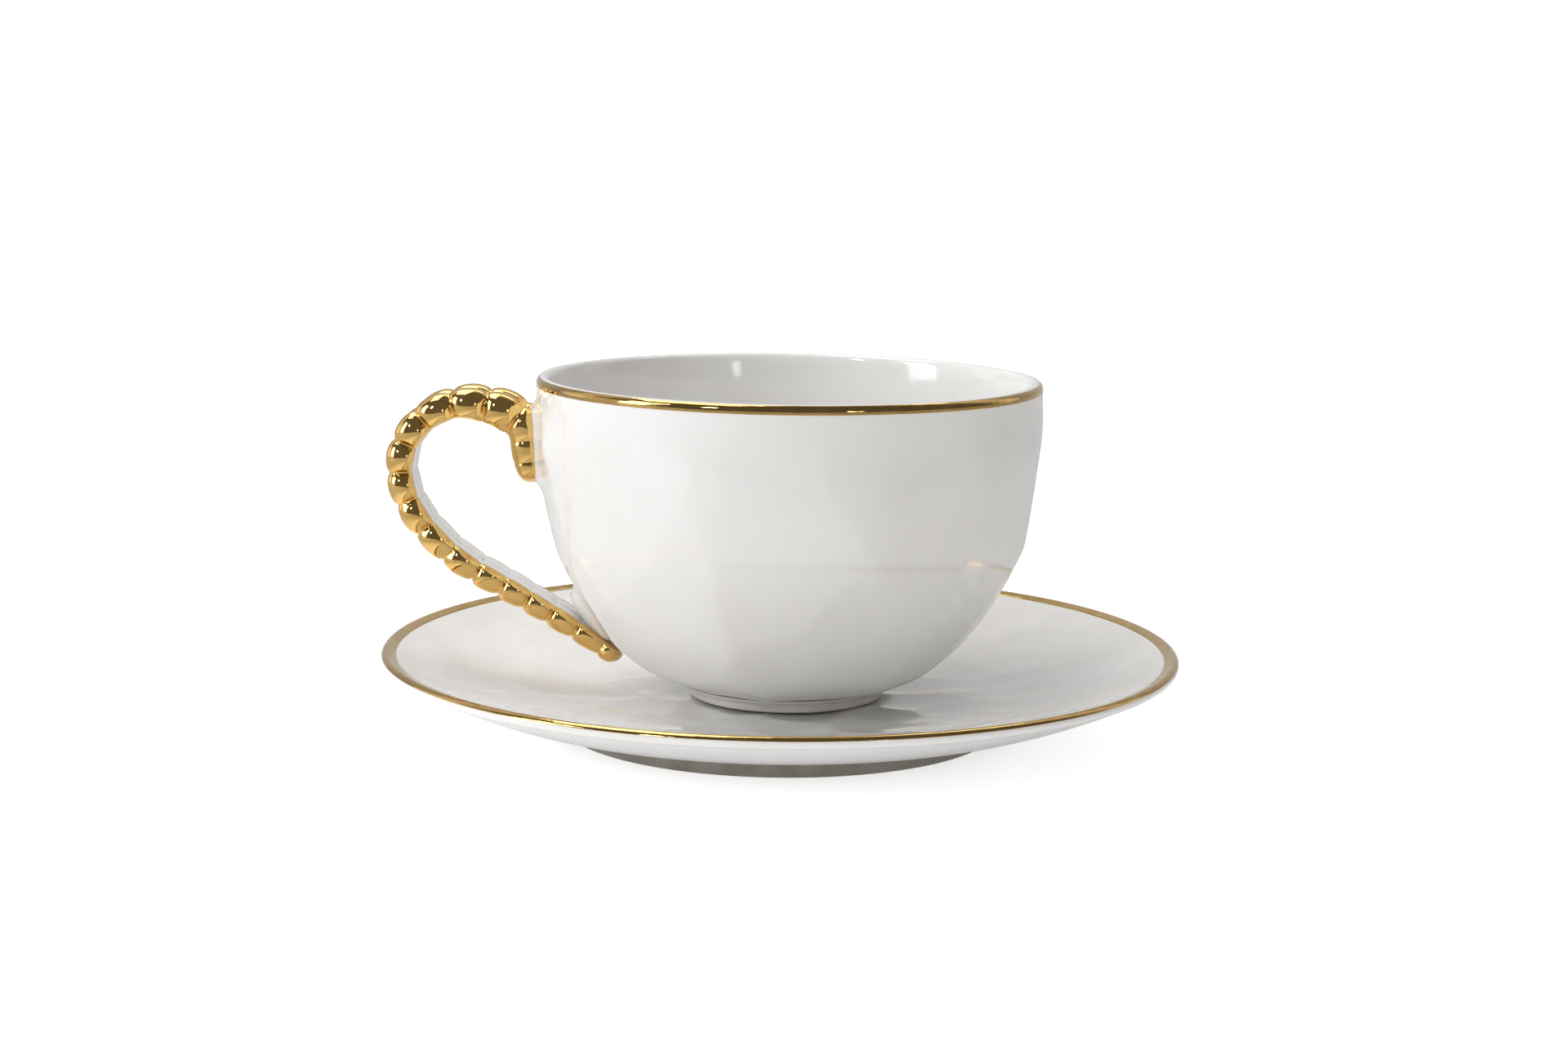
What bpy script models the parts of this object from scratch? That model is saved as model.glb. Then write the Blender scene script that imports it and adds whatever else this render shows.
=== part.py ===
"""Teacup on its saucer: a porcelain bowl on a foot ring, a strap handle with two rows of beads under a
coat of gilding, and a shallow saucer with a gilded lip. Metres, +Z up, origin on the table under the
centre of the saucer. The handle points along -X."""

from math import asin, copysign, cos, degrees, pi, radians, sin, sqrt

import bmesh
import bpy
from mathutils import Vector
from mathutils.geometry import interpolate_bezier

MM = 0.001

# Saucer
SAUCER_RADIUS = 75 * MM
SAUCER_RIM_HEIGHT = 15.5 * MM
SAUCER_LIP_RADIUS = 1.1 * MM
SAUCER_FLOOR = 3.4 * MM
SAUCER_WELL_RADIUS = 30 * MM
SAUCER_TOP_SWEEP = 1.8
SAUCER_UNDER_SWEEP = 1.7
SAUCER_FOOT_RADIUS = 41.5 * MM
SAUCER_FOOT_HEIGHT = 2.2 * MM
SAUCER_FOOT_WIDTH = 3.6 * MM
SAUCER_GILD_INWARD = 1.8 * MM

# Cup
CUP_RADIUS = 47.2 * MM
CUP_HEIGHT = 60.4 * MM
CUP_WALL = 2.6 * MM
CUP_FLOOR = 3.4 * MM
CUP_FOOT_RADIUS = 18 * MM
CUP_FOOT_HEIGHT = 2.1 * MM
CUP_FOOT_WIDTH = 2.8 * MM
CUP_FOOT_FLARE = 0.9 * MM
CUP_OFF_CENTRE = 1.2 * MM
BOWL_FULLNESS = 2.58
BOWL_INNER_FULLNESS = 2.8
BOWL_POLE_DROP = 0.5 * MM
CUP_GILD_DROP = 0.4 * MM

# Handle: heights are measured down from the cup's rim, distances out from its widest circle
HANDLE_REACH = 24.9 * MM
HANDLE_TOP_DROP = 5.9 * MM
HANDLE_TOP_OUT = 12.5 * MM
HANDLE_SIDE_DROP = 17.8 * MM
HANDLE_RUN_DROP = 37.6 * MM
HANDLE_RUN_OUT = 9.8 * MM
SPUR_TIP_DROP = 19.6 * MM
SPUR_NECK_DROP = 10.6 * MM
HANDLE_FOOT_DROP = 50.6 * MM
STRAP_HALF_THICK = 2.3 * MM
STRAP_HALF_THICK_AT_ENDS = 1.25 * MM
STRAP_HALF_THICK_ON_RUN = 1.8 * MM
STRAP_HALF_DEPTH = 5.7 * MM
STRAP_HALF_DEPTH_AT_ENDS = 4.6 * MM
END_TAPER = 13 * MM
BEAD_PITCH = 5.6 * MM
BEAD_PROUD = 0.8 * MM
PAD_THICKNESS = 0.7 * MM
PAD_HALF_DEPTH = 5.4 * MM
PAD_BEADS = 2

# Shared
GAP = 0.3 * MM
GILDING = 0.45 * MM
SEGMENTS = 48
CURVE_STEPS = 11
LIP_STEPS = 4
STATIONS_PER_BEAD = 3
SECTION_POINTS = 16
GILDED_SIDE_POINTS = 6
LOBED_SIDE_POINTS = 5
STRAP_SQUARENESS = 4

# Heights that follow from the sizes above
SAUCER_UNDERSIDE = SAUCER_FOOT_HEIGHT + GAP
SAUCER_WELL = SAUCER_UNDERSIDE + SAUCER_FLOOR
SAUCER_LIP_CENTRE = SAUCER_RIM_HEIGHT - SAUCER_LIP_RADIUS
CUP_BASE = SAUCER_WELL + GAP
LIP_RADIUS = CUP_WALL / 2
LIP_CENTRE_RADIUS = CUP_RADIUS - LIP_RADIUS
LIP_CENTRE_HEIGHT = CUP_HEIGHT - LIP_RADIUS
BOWL_DEPTH = LIP_CENTRE_HEIGHT + BOWL_POLE_DROP
BOWL_BASE = CUP_FOOT_HEIGHT + GAP
BOWL_FLOOR = BOWL_BASE + CUP_FLOOR
REBATE = GILDING + GAP
END_STAND_OFF = GAP + PAD_THICKNESS + GAP + STRAP_HALF_THICK_AT_ENDS

PORCELAIN = ("porcelain", (0.86, 0.85, 0.84, 1), 0.12, 0.0)
BARE_FOOT = ("bare_foot", (0.62, 0.58, 0.52, 1), 0.45, 0.0)
GOLD = ("gold", (0.78, 0.56, 0.22, 1), 0.14, 1.0)


def clear_scene():
    for thing in list(bpy.data.objects):
        bpy.data.objects.remove(thing)


def finish_material(finish):
    name, colour, roughness, metallic = finish
    material = bpy.data.materials.new(name)
    material.use_nodes = True
    shader = material.node_tree.nodes["Principled BSDF"]
    shader.inputs["Base Color"].default_value = colour
    shader.inputs["Roughness"].default_value = roughness
    shader.inputs["Metallic"].default_value = metallic
    return material


def piece(name, shape, finish, parent=None):
    """An object made from a bmesh, with its faces out and its round stretches shaded smooth."""
    bmesh.ops.remove_doubles(shape, verts=shape.verts, dist=0.001 * MM)
    bmesh.ops.recalc_face_normals(shape, faces=shape.faces)
    mesh = bpy.data.meshes.new(name)
    shape.to_mesh(mesh)
    shape.free()
    mesh.shade_smooth()
    mesh.set_sharp_from_angle(angle=radians(40))
    mesh.materials.append(finish_material(finish))
    thing = bpy.data.objects.new(name, mesh)
    thing.parent = parent
    bpy.context.collection.objects.link(thing)
    return thing


def cutter(name, shape, parent):
    thing = piece(name, shape, PORCELAIN, parent)
    thing.hide_render = True
    thing.display_type = "WIRE"
    return thing


def cut(thing, tool):
    boolean = thing.modifiers.new("clear_" + tool.name, "BOOLEAN")
    boolean.operation = "DIFFERENCE"
    boolean.solver = "EXACT"
    boolean.object = tool


def turned(outline):
    """A closed outline of (radius, height) points, turned once round the Z axis."""
    shape = bmesh.new()
    points = [shape.verts.new((radius, 0, height)) for radius, height in outline]
    edges = [shape.edges.new((a, b)) for a, b in zip(points, points[1:] + points[:1])]
    on_axis = [edge for edge in edges if all(point.co.x == 0 for point in edge.verts)]
    edges = [edge for edge in edges if edge not in on_axis]
    bmesh.ops.spin(
        shape, geom=points + edges, cent=(0, 0, 0), axis=(0, 0, 1),
        angle=2 * pi, steps=SEGMENTS, use_merge=True,
    )
    bmesh.ops.remove_doubles(shape, verts=shape.verts, dist=0.001 * MM)
    for edge in [edge for edge in shape.edges if not edge.link_faces]:
        shape.edges.remove(edge)
    return shape


def arc(centre, radius, start, end, steps=LIP_STEPS):
    """Points round part of a circle, by angles in degrees from the +radius direction."""
    angles = [radians(start + (end - start) * i / steps) for i in range(steps + 1)]
    return [(centre[0] + radius * cos(a), centre[1] + radius * sin(a)) for a in angles]


# ---------------------------------------------------------------- saucer

def saucer_top(radius):
    """Height of the saucer's upper face: a flat well, then a sweep up to the lip."""
    run = SAUCER_RADIUS - SAUCER_LIP_RADIUS - SAUCER_WELL_RADIUS
    along = max(0, radius - SAUCER_WELL_RADIUS) / run
    return SAUCER_WELL + (SAUCER_RIM_HEIGHT - SAUCER_WELL) * along ** SAUCER_TOP_SWEEP


def saucer_under(radius):
    """Height of the underside: flat over the foot ring, then a sweep up to the lip."""
    run = SAUCER_RADIUS - SAUCER_LIP_RADIUS - SAUCER_FOOT_RADIUS
    along = max(0, radius - SAUCER_FOOT_RADIUS) / run
    rise = SAUCER_LIP_CENTRE - SAUCER_LIP_RADIUS - SAUCER_UNDERSIDE
    return SAUCER_UNDERSIDE + rise * along ** SAUCER_UNDER_SWEEP


def spread(start, end, steps):
    return [start + (end - start) * i / steps for i in range(steps + 1)]


def saucer_plate():
    lip = (SAUCER_RADIUS - SAUCER_LIP_RADIUS, SAUCER_LIP_CENTRE)
    gild_edge = lip[0] - SAUCER_GILD_INWARD
    under = [(0, SAUCER_UNDERSIDE)]
    under += [(r, saucer_under(r)) for r in spread(SAUCER_FOOT_RADIUS, lip[0], 7)[:-1]]
    under += arc(lip, SAUCER_LIP_RADIUS, -90, -degrees(asin(GAP / SAUCER_LIP_RADIUS)))
    rebate = [(lip[0] + SAUCER_LIP_RADIUS - REBATE, lip[1] - GAP)]
    rebate += arc(lip, SAUCER_LIP_RADIUS - REBATE, 0, 90, 2)
    inner_edge = gild_edge - GAP
    rebate += [(inner_edge, saucer_top(inner_edge) - REBATE)]
    top = [(r, saucer_top(r)) for r in spread(inner_edge, SAUCER_WELL_RADIUS, 7)]
    return turned(under + rebate + top + [(0, SAUCER_WELL)])


def saucer_gilding():
    lip = (SAUCER_RADIUS - SAUCER_LIP_RADIUS, SAUCER_LIP_CENTRE)
    gild_edge = lip[0] - SAUCER_GILD_INWARD
    outer = arc(lip, SAUCER_LIP_RADIUS, 0, 90)
    inner = arc(lip, SAUCER_LIP_RADIUS - GILDING, 90, 0)
    edge = [(gild_edge, saucer_top(gild_edge)), (gild_edge, saucer_top(gild_edge) - GILDING)]
    return turned(outer + edge + inner)


def foot_ring(radius, height, width, flare, base=0.0):
    """A low ring that stands on its flat underside, with its outer side leaning out by flare."""
    ease = height / 5
    return turned([
        (radius - width + ease, base), (radius - ease, base), (radius, base + ease),
        (radius + flare, base + height), (radius - width - flare, base + height),
        (radius - width, base + ease),
    ])


# ---------------------------------------------------------------- cup, in heights above its own foot

def bowl_radius(height):
    """Outer radius of the bowl, a superellipse from the lip to a pole just under the foot."""
    down = max(0, LIP_CENTRE_HEIGHT - height) / BOWL_DEPTH
    return CUP_RADIUS * (1 - min(down, 1) ** BOWL_FULLNESS) ** (1 / BOWL_FULLNESS)


def superellipse(radius, depth, fullness, lowest, steps=CURVE_STEPS):
    """Points down a quarter superellipse from the lip to the height lowest."""
    reach = (LIP_CENTRE_HEIGHT - lowest) / depth
    points = []
    for angle in spread(0, pi / 2, steps):
        down = reach * sin(angle)
        points.append((radius * (1 - down ** fullness) ** (1 / fullness), LIP_CENTRE_HEIGHT - depth * down))
    return points


def cup_bowl():
    lip = (LIP_CENTRE_RADIUS, LIP_CENTRE_HEIGHT)
    band_foot = LIP_CENTRE_HEIGHT - CUP_GILD_DROP - GAP
    outside = superellipse(CUP_RADIUS, BOWL_DEPTH, BOWL_FULLNESS, BOWL_BASE)[::-1]
    outside = [point for point in outside if point[1] < band_foot - GAP]
    outside += [(bowl_radius(band_foot), band_foot), (bowl_radius(band_foot) - REBATE, band_foot)]
    rebate = arc(lip, LIP_RADIUS - REBATE, 0, 90, 2)
    crest = sqrt(LIP_RADIUS ** 2 - GAP ** 2)
    top = [(lip[0] - GAP, lip[1] + LIP_RADIUS - REBATE), (lip[0] - GAP, lip[1] + crest)]
    top += arc(lip, LIP_RADIUS, 110, 180, 3)[:-1]
    inner_depth = LIP_CENTRE_HEIGHT - BOWL_FLOOR
    inside = superellipse(CUP_RADIUS - CUP_WALL, inner_depth, BOWL_INNER_FULLNESS, BOWL_FLOOR)
    inside[-1] = (0, BOWL_FLOOR)
    return turned([(0, BOWL_BASE)] + outside + rebate + top + inside)


def cup_gilding():
    lip = (LIP_CENTRE_RADIUS, LIP_CENTRE_HEIGHT)
    band_foot = LIP_CENTRE_HEIGHT - CUP_GILD_DROP
    outer = [(bowl_radius(band_foot), band_foot)] + arc(lip, LIP_RADIUS, 0, 90)
    inner = arc(lip, LIP_RADIUS - GILDING, 90, 0)
    inner += [(bowl_radius(band_foot) - GILDING, band_foot)]
    return turned(outer + inner)


def bowl_envelope():
    """The bowl's outer shape grown by the gap, to cut what seats against the wall."""
    outline = [(0, BOWL_BASE)]
    for height in spread(BOWL_BASE, LIP_CENTRE_HEIGHT, 2 * CURVE_STEPS):
        outline.append((bowl_radius(height) + GAP / cos(wall_lean(height)), height))
    outline += [(CUP_RADIUS + GAP, CUP_HEIGHT + GAP), (0, CUP_HEIGHT + GAP)]
    return turned(outline)


def wall_lean(height):
    """Angle of the bowl's wall from upright, at a height."""
    step = 0.1 * MM
    rise = bowl_radius(height + step) - bowl_radius(height)
    return Vector((step, rise)).angle(Vector((1, 0)))


# ---------------------------------------------------------------- handle

def off_wall(height, stand_off):
    """A point at a height, stand_off clear of the bowl's wall on the handle's side."""
    lean = wall_lean(height)
    return Vector((-bowl_radius(height) - stand_off * cos(lean), 0, height - stand_off * sin(lean)))


def handle_anchors():
    """The path's anchors, each with the direction it heads in and its two handle lengths."""
    rim, widest = CUP_HEIGHT, CUP_RADIUS
    return [
        (off_wall(rim - SPUR_TIP_DROP, END_STAND_OFF), (-0.12, 1), 0, 3 * MM),
        (off_wall(rim - SPUR_NECK_DROP, END_STAND_OFF), (-0.1, 1), 3 * MM, 2.6 * MM),
        (Vector((-widest - HANDLE_TOP_OUT, 0, rim - HANDLE_TOP_DROP)), (-1, 0), 5.5 * MM, 6.8 * MM),
        (Vector((-widest - HANDLE_REACH, 0, rim - HANDLE_SIDE_DROP)), (0, -1), 6.6 * MM, 9 * MM),
        (Vector((-widest - HANDLE_RUN_OUT, 0, rim - HANDLE_RUN_DROP)), (0.88, -0.47), 7 * MM, 10 * MM),
        (off_wall(rim - HANDLE_FOOT_DROP, END_STAND_OFF), (0.72, -0.69), 6 * MM, 0),
    ]


def handle_path():
    """Points at an even spacing along the handle, from the spur's tip to the lower end."""
    fine = []
    anchors = handle_anchors()
    for (a, aim_a, _, out), (b, aim_b, back, _) in zip(anchors, anchors[1:]):
        leave = a + Vector((aim_a[0], 0, aim_a[1])).normalized() * out
        arrive = b - Vector((aim_b[0], 0, aim_b[1])).normalized() * back
        fine += interpolate_bezier(a, leave, arrive, b, 60)[bool(fine):]
    length = sum((b - a).length for a, b in zip(fine, fine[1:]))
    beads = round(length / BEAD_PITCH)
    spacing = length / (beads * STATIONS_PER_BEAD)
    path, gone = [fine[0]], 0.0
    for a, b in zip(fine, fine[1:]):
        gone += (b - a).length
        if gone >= spacing * len(path) - 0.01 * MM:
            path.append(b)
    return path


def tapered(from_end, at_end, full):
    """A size that grows from at_end to full over the taper's length from one end of the strap."""
    return at_end + (full - at_end) * sin(min(from_end / END_TAPER, 1) * pi / 2)


def strap_section(half_thick, half_depth, swell):
    """Section points as (outward, depth), from the outer side round. swell is 0 at a neck between two
    beads and 1 over a bead's crest. Beads swell the front and back of a squarish strap, and leave its
    finger side flat."""
    points = []
    for i in range(SECTION_POINTS):
        angle = 2 * pi * i / SECTION_POINTS
        strap = Vector((half_thick * rounded_square(cos(angle)), half_depth * rounded_square(sin(angle))))
        lobed = min(i, SECTION_POINTS - i) <= LOBED_SIDE_POINTS
        proud = BEAD_PROUD * swell * abs(sin(angle)) if lobed else 0
        points.append(strap + Vector((cos(angle), sin(angle))) * proud)
    return points


def rounded_square(share):
    """A circle's coordinate, from -1 to 1, pushed out towards a square's with rounded corners."""
    return copysign(abs(share) ** (2 / STRAP_SQUARENESS), share)


def inset(points, depth):
    """The section moved inwards by depth, along its own normals."""
    moved = []
    for i, point in enumerate(points):
        along = points[(i + 1) % len(points)] - points[i - 1]
        moved.append(point + Vector((-along.y, along.x)).normalized() * depth)
    return moved


def gilded(i):
    return min(i, SECTION_POINTS - i) <= GILDED_SIDE_POINTS


def core_loop(section):
    """The porcelain strap: set back under the gilding, full size on the finger side."""
    back = inset(section, REBATE)
    return [back[i] if gilded(i) else point for i, point in enumerate(section)]


def gilding_loop(section):
    """A channel open on the finger side: out round the beads, back along the inner face."""
    order = range(-GILDED_SIDE_POINTS, GILDED_SIDE_POINTS + 1)
    inner = inset(section, GILDING)
    return [section[i] for i in order] + [inner[i] for i in reversed(order)]


def envelope_loop(section):
    return inset(section, -GAP)


def swept(path, loop_at):
    """Rings along the path, joined into a tube and capped. loop_at gives each ring's section."""
    shape = bmesh.new()
    rings = []
    for i, point in enumerate(path):
        ahead = path[min(i + 1, len(path) - 1)] - path[max(i - 1, 0)]
        outward = Vector((ahead.z, 0, -ahead.x)).normalized()
        rings.append([
            shape.verts.new(point + outward * at.x + Vector((0, at.y, 0))) for at in loop_at(i)
        ])
    for a, b in zip(rings, rings[1:]):
        for j in range(len(a)):
            k = (j + 1) % len(a)
            shape.faces.new((a[j], a[k], b[k], b[j]))
    shape.faces.new(rings[0])
    shape.faces.new(rings[-1])
    return shape


def section_at(path, i, beaded=True):
    """The strap's section at a station: full size at the top, slimmer on the run, tapered at both ends."""
    step = (path[1] - path[0]).length
    from_spur, from_foot = i * step, (len(path) - 1 - i) * step
    on_run = min(1, from_spur / (from_spur + from_foot) * 2)
    thick = STRAP_HALF_THICK + (STRAP_HALF_THICK_ON_RUN - STRAP_HALF_THICK) * on_run
    thick = tapered(min(from_spur, from_foot), STRAP_HALF_THICK_AT_ENDS, thick)
    deep = tapered(min(from_spur, from_foot), STRAP_HALF_DEPTH_AT_ENDS, STRAP_HALF_DEPTH)
    phase = (i % STATIONS_PER_BEAD) / STATIONS_PER_BEAD
    return strap_section(thick, deep, sin(pi * phase) if beaded else 1.0)


def strap_envelope(path):
    """The strap at its fullest, grown by the gap and run on past both ends, to cut what it lies in."""
    before, after = path[0] - path[1], path[-1] - path[-2]
    longer = [path[0] + before] + path + [path[-1] + after]
    last = len(path) - 1
    return swept(longer, lambda i: envelope_loop(section_at(path, min(max(i - 1, 0), last), False)))


def pad_block(path, first, last):
    """A block from the strap's middle into the wall, between two stations of the path."""
    shape = bmesh.new()
    outline = list(path[first:last + 1])
    for point in (path[last], path[first]):
        inside = bowl_radius(point.z) - CUP_WALL / 2
        outline.append(Vector((-inside, 0, point.z)))
    face = shape.faces.new([shape.verts.new(p - Vector((0, PAD_HALF_DEPTH, 0))) for p in outline])
    side = bmesh.ops.extrude_face_region(shape, geom=[face])["geom"]
    moved = [part for part in side if isinstance(part, bmesh.types.BMVert)]
    bmesh.ops.translate(shape, vec=(0, 2 * PAD_HALF_DEPTH, 0), verts=moved)
    return shape


def handle(cup):
    path = handle_path()
    piece("handle_core", swept(path, lambda i: core_loop(section_at(path, i))), PORCELAIN, cup)
    piece("handle_gilding", swept(path, lambda i: gilding_loop(section_at(path, i))), GOLD, cup)
    wall = cutter("wall_envelope", bowl_envelope(), cup)
    strap = cutter("strap_envelope", strap_envelope(path), cup)
    last, reach = len(path) - 1, PAD_BEADS * STATIONS_PER_BEAD
    for name, start, end in (("upper_luting_pad", 1, reach + 1), ("lower_luting_pad", last - reach, last - 1)):
        pad = piece(name, pad_block(path, start, end), PORCELAIN, cup)
        cut(pad, wall)
        cut(pad, strap)


def saucer():
    piece("saucer_plate", saucer_plate(), PORCELAIN)
    piece("saucer_rim_gilding", saucer_gilding(), GOLD)
    ring = foot_ring(SAUCER_FOOT_RADIUS, SAUCER_FOOT_HEIGHT, SAUCER_FOOT_WIDTH, 0)
    piece("saucer_foot_ring", ring, BARE_FOOT)


def cup_on_saucer():
    cup = bpy.data.objects.new("cup", None)
    cup.location = (CUP_OFF_CENTRE, 0, CUP_BASE)
    bpy.context.collection.objects.link(cup)
    piece("cup_bowl", cup_bowl(), PORCELAIN, cup)
    piece("cup_rim_gilding", cup_gilding(), GOLD, cup)
    ring = foot_ring(CUP_FOOT_RADIUS, CUP_FOOT_HEIGHT, CUP_FOOT_WIDTH, CUP_FOOT_FLARE)
    piece("cup_foot_ring", ring, BARE_FOOT, cup)
    handle(cup)


clear_scene()
saucer()
cup_on_saucer()
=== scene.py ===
"""The looks of a teacup on its saucer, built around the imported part. Metres, +Z up, the handle along -X.

The glazed ware, the gold on its rims and the foot rings are turned from outlines by one geometry tree.
The beaded strap and its gold are swept along the handle's path by another."""

from math import atan2, cos, pi, radians, sin

import bpy
from mathutils import Matrix, Vector
from mathutils.geometry import interpolate_bezier


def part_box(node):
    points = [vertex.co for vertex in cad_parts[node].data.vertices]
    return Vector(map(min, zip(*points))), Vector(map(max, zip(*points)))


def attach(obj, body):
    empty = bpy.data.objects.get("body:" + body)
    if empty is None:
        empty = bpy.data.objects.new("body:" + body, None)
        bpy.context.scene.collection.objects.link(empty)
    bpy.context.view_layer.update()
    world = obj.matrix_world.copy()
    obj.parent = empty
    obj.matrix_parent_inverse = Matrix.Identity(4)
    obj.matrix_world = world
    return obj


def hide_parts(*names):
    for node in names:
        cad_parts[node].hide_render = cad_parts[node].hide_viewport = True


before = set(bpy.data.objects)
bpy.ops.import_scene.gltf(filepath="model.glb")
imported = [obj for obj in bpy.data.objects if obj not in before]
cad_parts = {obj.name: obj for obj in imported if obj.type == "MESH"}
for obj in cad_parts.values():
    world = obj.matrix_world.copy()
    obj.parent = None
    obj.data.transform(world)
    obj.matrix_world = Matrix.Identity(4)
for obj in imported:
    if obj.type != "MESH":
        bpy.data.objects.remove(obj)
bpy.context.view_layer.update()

MM = 0.001

# ---------------------------------------------------------------- sizes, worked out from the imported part

cup_gold_low, cup_gold_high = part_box("cup_rim_gilding")
saucer_gold_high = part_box("saucer_rim_gilding")[1]
saucer_foot_low, saucer_foot_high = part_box("saucer_foot_ring")

CUP_AXIS = (cup_gold_low.x + cup_gold_high.x) / 2
CUP_RADIUS = (cup_gold_high.x - cup_gold_low.x) / 2
CUP_RIM = cup_gold_high.z
CUP_FOOT_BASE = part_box("cup_foot_ring")[0].z
CUP_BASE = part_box("cup_bowl")[0].z
SAUCER_RADIUS = saucer_gold_high.x
SAUCER_RIM = saucer_gold_high.z
SAUCER_FOOT_BASE = saucer_foot_low.z
# The dish is drawn this much thinner over its foot than in the part, so that more of the ring shows
DISH_THINNED = 1.1 * MM
SAUCER_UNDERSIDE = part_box("saucer_plate")[0].z + DISH_THINNED
FOOT_GAP = 0.3 * MM
SAUCER_WELL = CUP_FOOT_BASE - FOOT_GAP

# Bowl. Each side is a squarish ellipse, fuller as its exponent grows. The outer one's pole lies below the
# base, which cuts it flat, and the inner one leans in below the lip.
WALL = 2.6 * MM
BOWL_FLOOR = 3.4 * MM
POLE_DROP = 2.9 * MM
OUTER_FULLNESS = 2.58
INNER_FULLNESS = 2.8
INNER_LEAN = 0.13
PLAIN_BELOW_LIP = 1.2 * MM
FACETS_FADE = 9 * MM
LIP_RADIUS = WALL / 2
LIP_HEIGHT = CUP_RIM - LIP_RADIUS
OUTER_DEPTH = LIP_HEIGHT - CUP_BASE + POLE_DROP
INNER_FLOOR = CUP_BASE + BOWL_FLOOR
INNER_DEPTH = LIP_HEIGHT - INNER_FLOOR

# Saucer. Its two faces rise from the well and the foot to the rim, more steeply as the exponent grows.
WELL_RADIUS = 30 * MM
SAUCER_LIP = 1.1 * MM
TOP_SWEEP = 1.8
UNDER_SWEEP = 1.7
SAUCER_LIP_MIDDLE = SAUCER_RADIUS - SAUCER_LIP
PLAIN_RIM = 3 * MM
RIM_FADE = 4 * MM

# Foot rings
SAUCER_FOOT_RADIUS = (saucer_foot_high.x - saucer_foot_low.x) / 2
SAUCER_FOOT_WIDTH = 3.6 * MM
SAUCER_FOOT_FLARE = 0.5 * MM
CUP_FOOT_RADIUS = 18.4 * MM
CUP_FOOT_WIDTH = 2.8 * MM
CUP_FOOT_FLARE = 2.35 * MM
FOOT_EDGE = 0.5 * MM
FOOT_BEDDED = 0.25 * MM
FLARE_CURVE = 3.5
INNER_FLARE = 0.6

# Handle roots on the wall: lowest and highest point, half width under the strap, and the fillet's reach
UPPER_ROOT = (CUP_RIM - 18.5 * MM, CUP_RIM - 8.6 * MM, 4.0 * MM, 11 * MM)
LOWER_ROOT = (CUP_RIM - 48.5 * MM, CUP_RIM - 43 * MM, 3.2 * MM, 8 * MM)
ROOT_RISE = 1.7 * MM

# Gilding. The glaze lies SKIN below the gold's face, and the gold is SKIN_BEDDED thick.
SKIN = 0.05 * MM
SKIN_BEDDED = 0.12 * MM
# Where it starts on each lip, in degrees for the cup's end and the saucer's start, up from the outer side
CUP_GILDED = 62
SAUCER_GILDED = 22
CUP_GOLD_DROP = 0.45 * MM
SAUCER_GOLD_INWARD = 1.7 * MM

# Points closer than this become one, which closes seams and poles
WELD = 0.002 * MM


# ---------------------------------------------------------------- node trees

class Field:
    """A number that flows through a node tree, so that a formula can be written as one."""

    def __init__(self, tree, socket):
        self.tree = tree
        self.socket = socket

    def math(self, operation, *others, clamp=False):
        node = self.tree.nodes.new("ShaderNodeMath")
        node.operation = operation
        node.use_clamp = clamp
        for slot, value in zip(node.inputs, (self, *others)):
            feed(self.tree, slot, value)
        return Field(self.tree, node.outputs[0])

    def __add__(self, other):
        return self.math("ADD", other)

    __radd__ = __add__

    def __sub__(self, other):
        return self.math("SUBTRACT", other)

    def __rsub__(self, other):
        return self.math("MULTIPLY_ADD", -1.0, other)

    def __mul__(self, other):
        return self.math("MULTIPLY", other)

    def __truediv__(self, other):
        return self.math("DIVIDE", other)

    def __rtruediv__(self, other):
        return self.math("POWER", -1.0) * other

    def __pow__(self, other):
        return self.math("POWER", other)

    def clamped(self):
        return self.math("ADD", 0.0, clamp=True)

    def eased(self, start, end):
        """0 before start and 1 after end, with a smooth change between."""
        node = add(self.tree, "ShaderNodeMapRange", [self, start, end, 0.0, 1.0],
                   interpolation_type="SMOOTHSTEP")
        return Field(self.tree, node.outputs[0])


def feed(tree, slot, value):
    """Joins a socket to an input, or sets the input's own value."""
    if isinstance(value, Field):
        value = value.socket
    if isinstance(value, bpy.types.NodeSocket):
        tree.links.new(value, slot)
    else:
        slot.default_value = value


def add(tree, kind, inputs=(), **settings):
    """A node with its settings, and its inputs given in order or by name."""
    node = tree.nodes.new(kind)
    for name, value in settings.items():
        setattr(node, name, value)
    given = inputs.items() if isinstance(inputs, dict) else enumerate(inputs)
    for key, value in given:
        feed(tree, node.inputs[key], value)
    return node


def number(tree, socket):
    return Field(tree, socket)


def geometry_tree(name, inputs):
    """A new geometry tree with these inputs, given as (name, kind, value)."""
    tree = bpy.data.node_groups.new(name, "GeometryNodeTree")
    tree.interface.new_socket("Geometry", in_out="INPUT", socket_type="NodeSocketGeometry")
    for label, kind, value in inputs:
        socket = tree.interface.new_socket(label, in_out="INPUT", socket_type="NodeSocket" + kind)
        if value is not None:
            socket.default_value = value
    tree.interface.new_socket("Geometry", in_out="OUTPUT", socket_type="NodeSocketGeometry")
    return tree, tree.nodes.new("NodeGroupInput").outputs


def close_tree(tree, shape, material):
    """Ends a tree: welded, smooth, real geometry with its material."""
    welded = add(tree, "GeometryNodeMergeByDistance", {"Geometry": shape, "Distance": WELD})
    smooth = add(tree, "GeometryNodeSetShadeSmooth", {"Geometry": welded.outputs[0]})
    real = add(tree, "GeometryNodeRealizeInstances", {"Geometry": smooth.outputs[0]})
    done = add(tree, "GeometryNodeSetMaterial", {"Geometry": real.outputs[0], "Material": material})
    out = tree.nodes.new("NodeGroupOutput")
    tree.links.new(done.outputs[0], out.inputs[0])


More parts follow.
